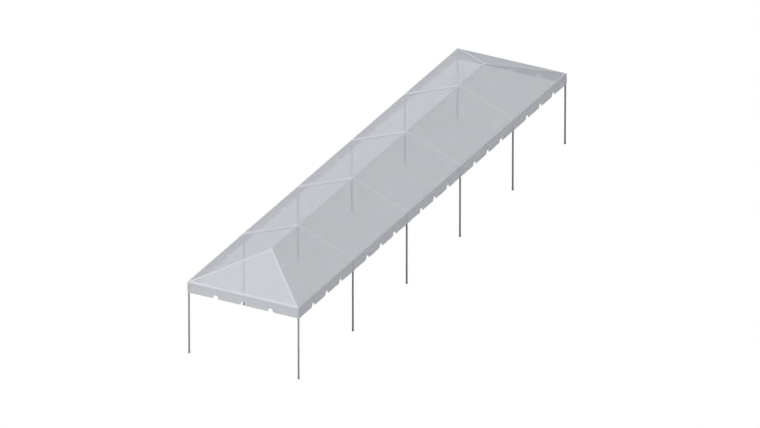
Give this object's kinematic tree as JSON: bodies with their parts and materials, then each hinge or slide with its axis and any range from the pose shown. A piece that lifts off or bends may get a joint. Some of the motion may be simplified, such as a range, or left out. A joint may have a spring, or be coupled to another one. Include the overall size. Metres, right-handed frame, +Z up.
{
  "type": "hip-ended frame marquee tent",
  "caption": "Long, narrow frame marquee with a hip-ended pitched vinyl top and a notched valance, open on all sides, on two rows of slim tube legs.",
  "frame": {"origin": "on the ground under the middle of the tent", "axes": "+X across the tent to its right side, +Y along its length to the rear end, +Z up"},
  "size_m": [3.26, 15.3, 2.7198],
  "materials": {
    "aluminium_tube": "satin, mid grey",
    "cast_fitting": "as cast, mid grey",
    "white_vinyl": "coated white vinyl, slightly see-through"
  },
  "bodies": {
    "root": {"leg_front_left": "aluminium_tube", "leg_2_left": "aluminium_tube", "leg_3_left": "aluminium_tube", "leg_4_left": "aluminium_tube", "leg_5_left": "aluminium_tube", "leg_rear_left": "aluminium_tube", "leg_front_right": "aluminium_tube", "leg_2_right": "aluminium_tube", "leg_3_right": "aluminium_tube", "leg_4_right": "aluminium_tube", "leg_5_right": "aluminium_tube", "leg_rear_right": "aluminium_tube", "corner_fitting_front_left": "cast_fitting", "corner_fitting_front_right": "cast_fitting", "corner_fitting_rear_left": "cast_fitting", "corner_fitting_rear_right": "cast_fitting", "eave_beam_left": "aluminium_tube", "eave_beam_right": "aluminium_tube", "eave_rail_front": "aluminium_tube", "eave_rail_rear": "aluminium_tube", "rafter_2_left": "aluminium_tube", "rafter_3_left": "aluminium_tube", "rafter_4_left": "aluminium_tube", "rafter_5_left": "aluminium_tube", "rafter_2_right": "aluminium_tube", "rafter_3_right": "aluminium_tube", "rafter_4_right": "aluminium_tube", "rafter_5_right": "aluminium_tube", "hip_rafter_front_left": "aluminium_tube", "hip_rafter_front_right": "aluminium_tube", "hip_rafter_rear_left": "aluminium_tube", "hip_rafter_rear_right": "aluminium_tube", "ridge_beam": "aluminium_tube", "roof_panel_left": "white_vinyl", "roof_panel_right": "white_vinyl", "roof_panel_front": "white_vinyl", "roof_panel_rear": "white_vinyl", "valance_left": "white_vinyl", "valance_right": "white_vinyl", "valance_front": "white_vinyl", "valance_rear": "white_vinyl"}
  },
  "joints": []
}
